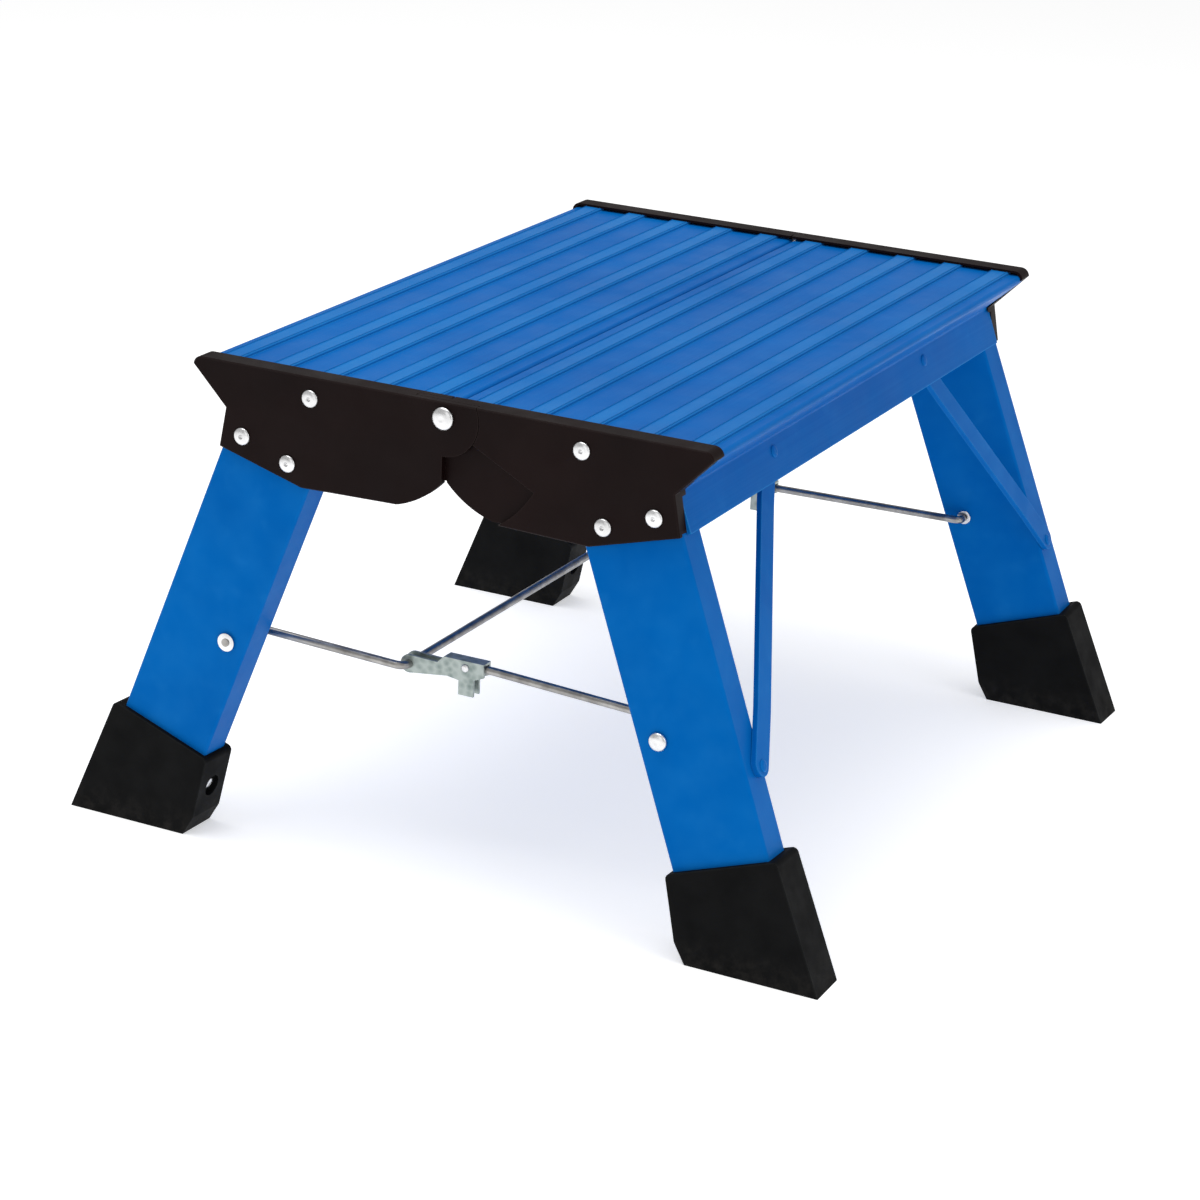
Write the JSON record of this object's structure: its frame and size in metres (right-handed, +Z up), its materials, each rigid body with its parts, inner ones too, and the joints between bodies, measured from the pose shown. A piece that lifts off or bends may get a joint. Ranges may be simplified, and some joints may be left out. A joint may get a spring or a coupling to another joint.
{
  "type": "folding sawhorse",
  "caption": "Low folding sawhorse and step trestle: ribbed metal platform in two hinged halves, black end caps, splayed box legs with braces, rubber feet and wire stays under the top.",
  "frame": {"origin": "on the floor under the middle of the platform", "axes": "+X across the platform towards the right half, +Y along it towards the far end, +Z up"},
  "size_m": [0.4506, 0.4536, 0.2685],
  "materials": {
    "blue_paint": "satin powder coat",
    "cap_plastic": "fine texture",
    "foot_rubber": "matte",
    "fastener_aluminium": "satin",
    "stay_steel": "drawn wire",
    "link_zinc": "zinc plated sheet"
  },
  "bodies": {
    "left_frame": {"left_platform": "blue_paint", "near_left_end_cap": "cap_plastic", "near_left_leg": "blue_paint", "near_left_foot": "foot_rubber", "near_left_brace": "blue_paint", "far_left_end_cap": "cap_plastic", "far_left_leg": "blue_paint", "far_left_foot": "foot_rubber", "far_left_brace": "blue_paint", "left_platform_rivets": "fastener_aluminium", "left_leg_rivets": "fastener_aluminium", "left_brace_top_rivets": "blue_paint", "left_brace_foot_rivets": "blue_paint", "left_foot_rivets": "fastener_aluminium", "near_hinge_pin": "fastener_aluminium", "far_hinge_pin": "fastener_aluminium", "near_hinge_washer": "fastener_aluminium", "far_hinge_washer": "fastener_aluminium"},
    "right_frame": {"right_platform": "blue_paint", "near_right_end_cap": "cap_plastic", "near_right_leg": "blue_paint", "near_right_foot": "foot_rubber", "near_right_brace": "blue_paint", "far_right_end_cap": "cap_plastic", "far_right_leg": "blue_paint", "far_right_foot": "foot_rubber", "far_right_brace": "blue_paint", "right_platform_rivets": "fastener_aluminium", "right_leg_rivets": "fastener_aluminium", "right_brace_top_rivets": "blue_paint", "right_brace_foot_rivets": "blue_paint", "right_foot_rivets": "fastener_aluminium", "right_stay_rivets": "fastener_aluminium"},
    "left_stay": {"left_stay": "stay_steel", "left_stay_caps": "fastener_aluminium"},
    "near_right_stay": {"near_right_stay": "stay_steel", "near_stay_link": "link_zinc", "near_link_rivet": "fastener_aluminium"},
    "far_right_stay": {"far_right_stay": "stay_steel", "far_stay_link": "link_zinc", "far_link_rivet": "fastener_aluminium"}
  },
  "joints": [
    {"name": "fold", "type": "hinge", "parent": "left_frame", "child": "right_frame", "pos_m": [0, 0, 0.26], "axis": [0, 1, 0], "range_deg": [0, 53]},
    {"name": "left_stay_pivot", "type": "hinge", "parent": "left_frame", "child": "left_stay", "pos_m": [-0.1278, 0, 0.1144], "axis": [0, -1, 0], "range_deg": [0, 91.9]},
    {"name": "near_right_stay_pivot", "type": "hinge", "parent": "left_stay", "child": "near_right_stay", "pos_m": [-0.035, 0, 0.111], "axis": [0, 1, 0], "range_deg": [0, 150.4]},
    {"name": "far_right_stay_pivot", "type": "hinge", "parent": "left_stay", "child": "far_right_stay", "pos_m": [-0.035, 0, 0.111], "axis": [0, 1, 0], "range_deg": [0, 150.4]}
  ],
  "couplings": [
    {"joint": "left_stay_pivot", "follows": "fold", "ratio": 1.7338},
    {"joint": "near_right_stay_pivot", "follows": "fold", "ratio": 2.8364},
    {"joint": "far_right_stay_pivot", "follows": "fold", "ratio": 2.8364}
  ]
}
